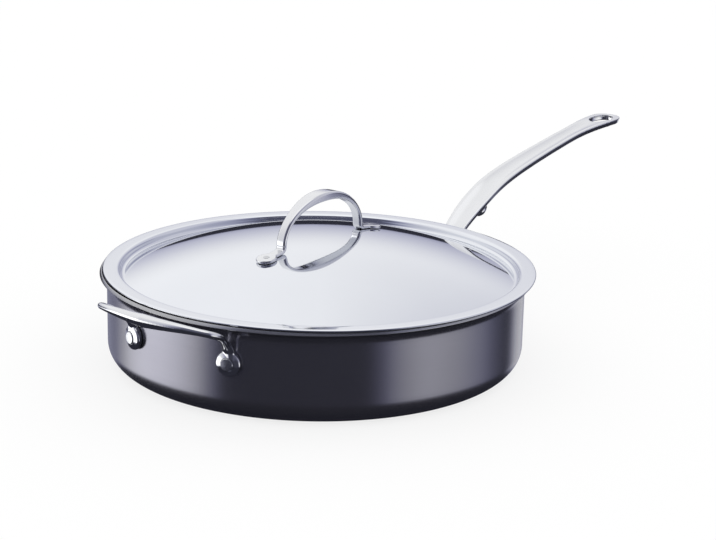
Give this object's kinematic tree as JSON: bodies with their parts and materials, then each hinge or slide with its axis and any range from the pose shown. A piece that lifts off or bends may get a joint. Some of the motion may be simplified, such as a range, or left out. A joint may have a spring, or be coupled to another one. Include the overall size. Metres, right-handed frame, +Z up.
{
  "type": "covered saute pan",
  "caption": "Straight-sided dark clad pan with a flared lip, a domed lid with an arched handle, a long handle with a hanging eye and a helper loop opposite.",
  "frame": {"origin": "centre of the pan's base, on the surface that it stands on", "axes": "+Z up, +X from the centre of the pan along the long handle"},
  "size_m": [0.5794, 0.2978, 0.1173],
  "materials": {
    "dark_clad": "dark grey hard coating over clad stainless steel, satin",
    "mirror_steel": "mirror-polished stainless steel",
    "cast_steel": "polished cast stainless steel",
    "rivet_steel": "bare stainless steel"
  },
  "bodies": {
    "pan": {"pan_body": "dark_clad", "long_handle": "cast_steel", "handle_rivet_left": "rivet_steel", "handle_rivet_right": "rivet_steel", "handle_rivet_lower": "rivet_steel", "helper_handle": "cast_steel", "helper_rivet_left": "rivet_steel", "helper_rivet_right": "rivet_steel"},
    "lid": {"lid": "mirror_steel", "lid_handle": "cast_steel", "lid_rivet_front": "rivet_steel", "lid_rivet_back": "rivet_steel"}
  },
  "joints": [
    {"name": "lid_lift", "type": "slide", "parent": "pan", "child": "lid", "axis": [0, 0, 1], "range_m": [0, 0.15]}
  ]
}
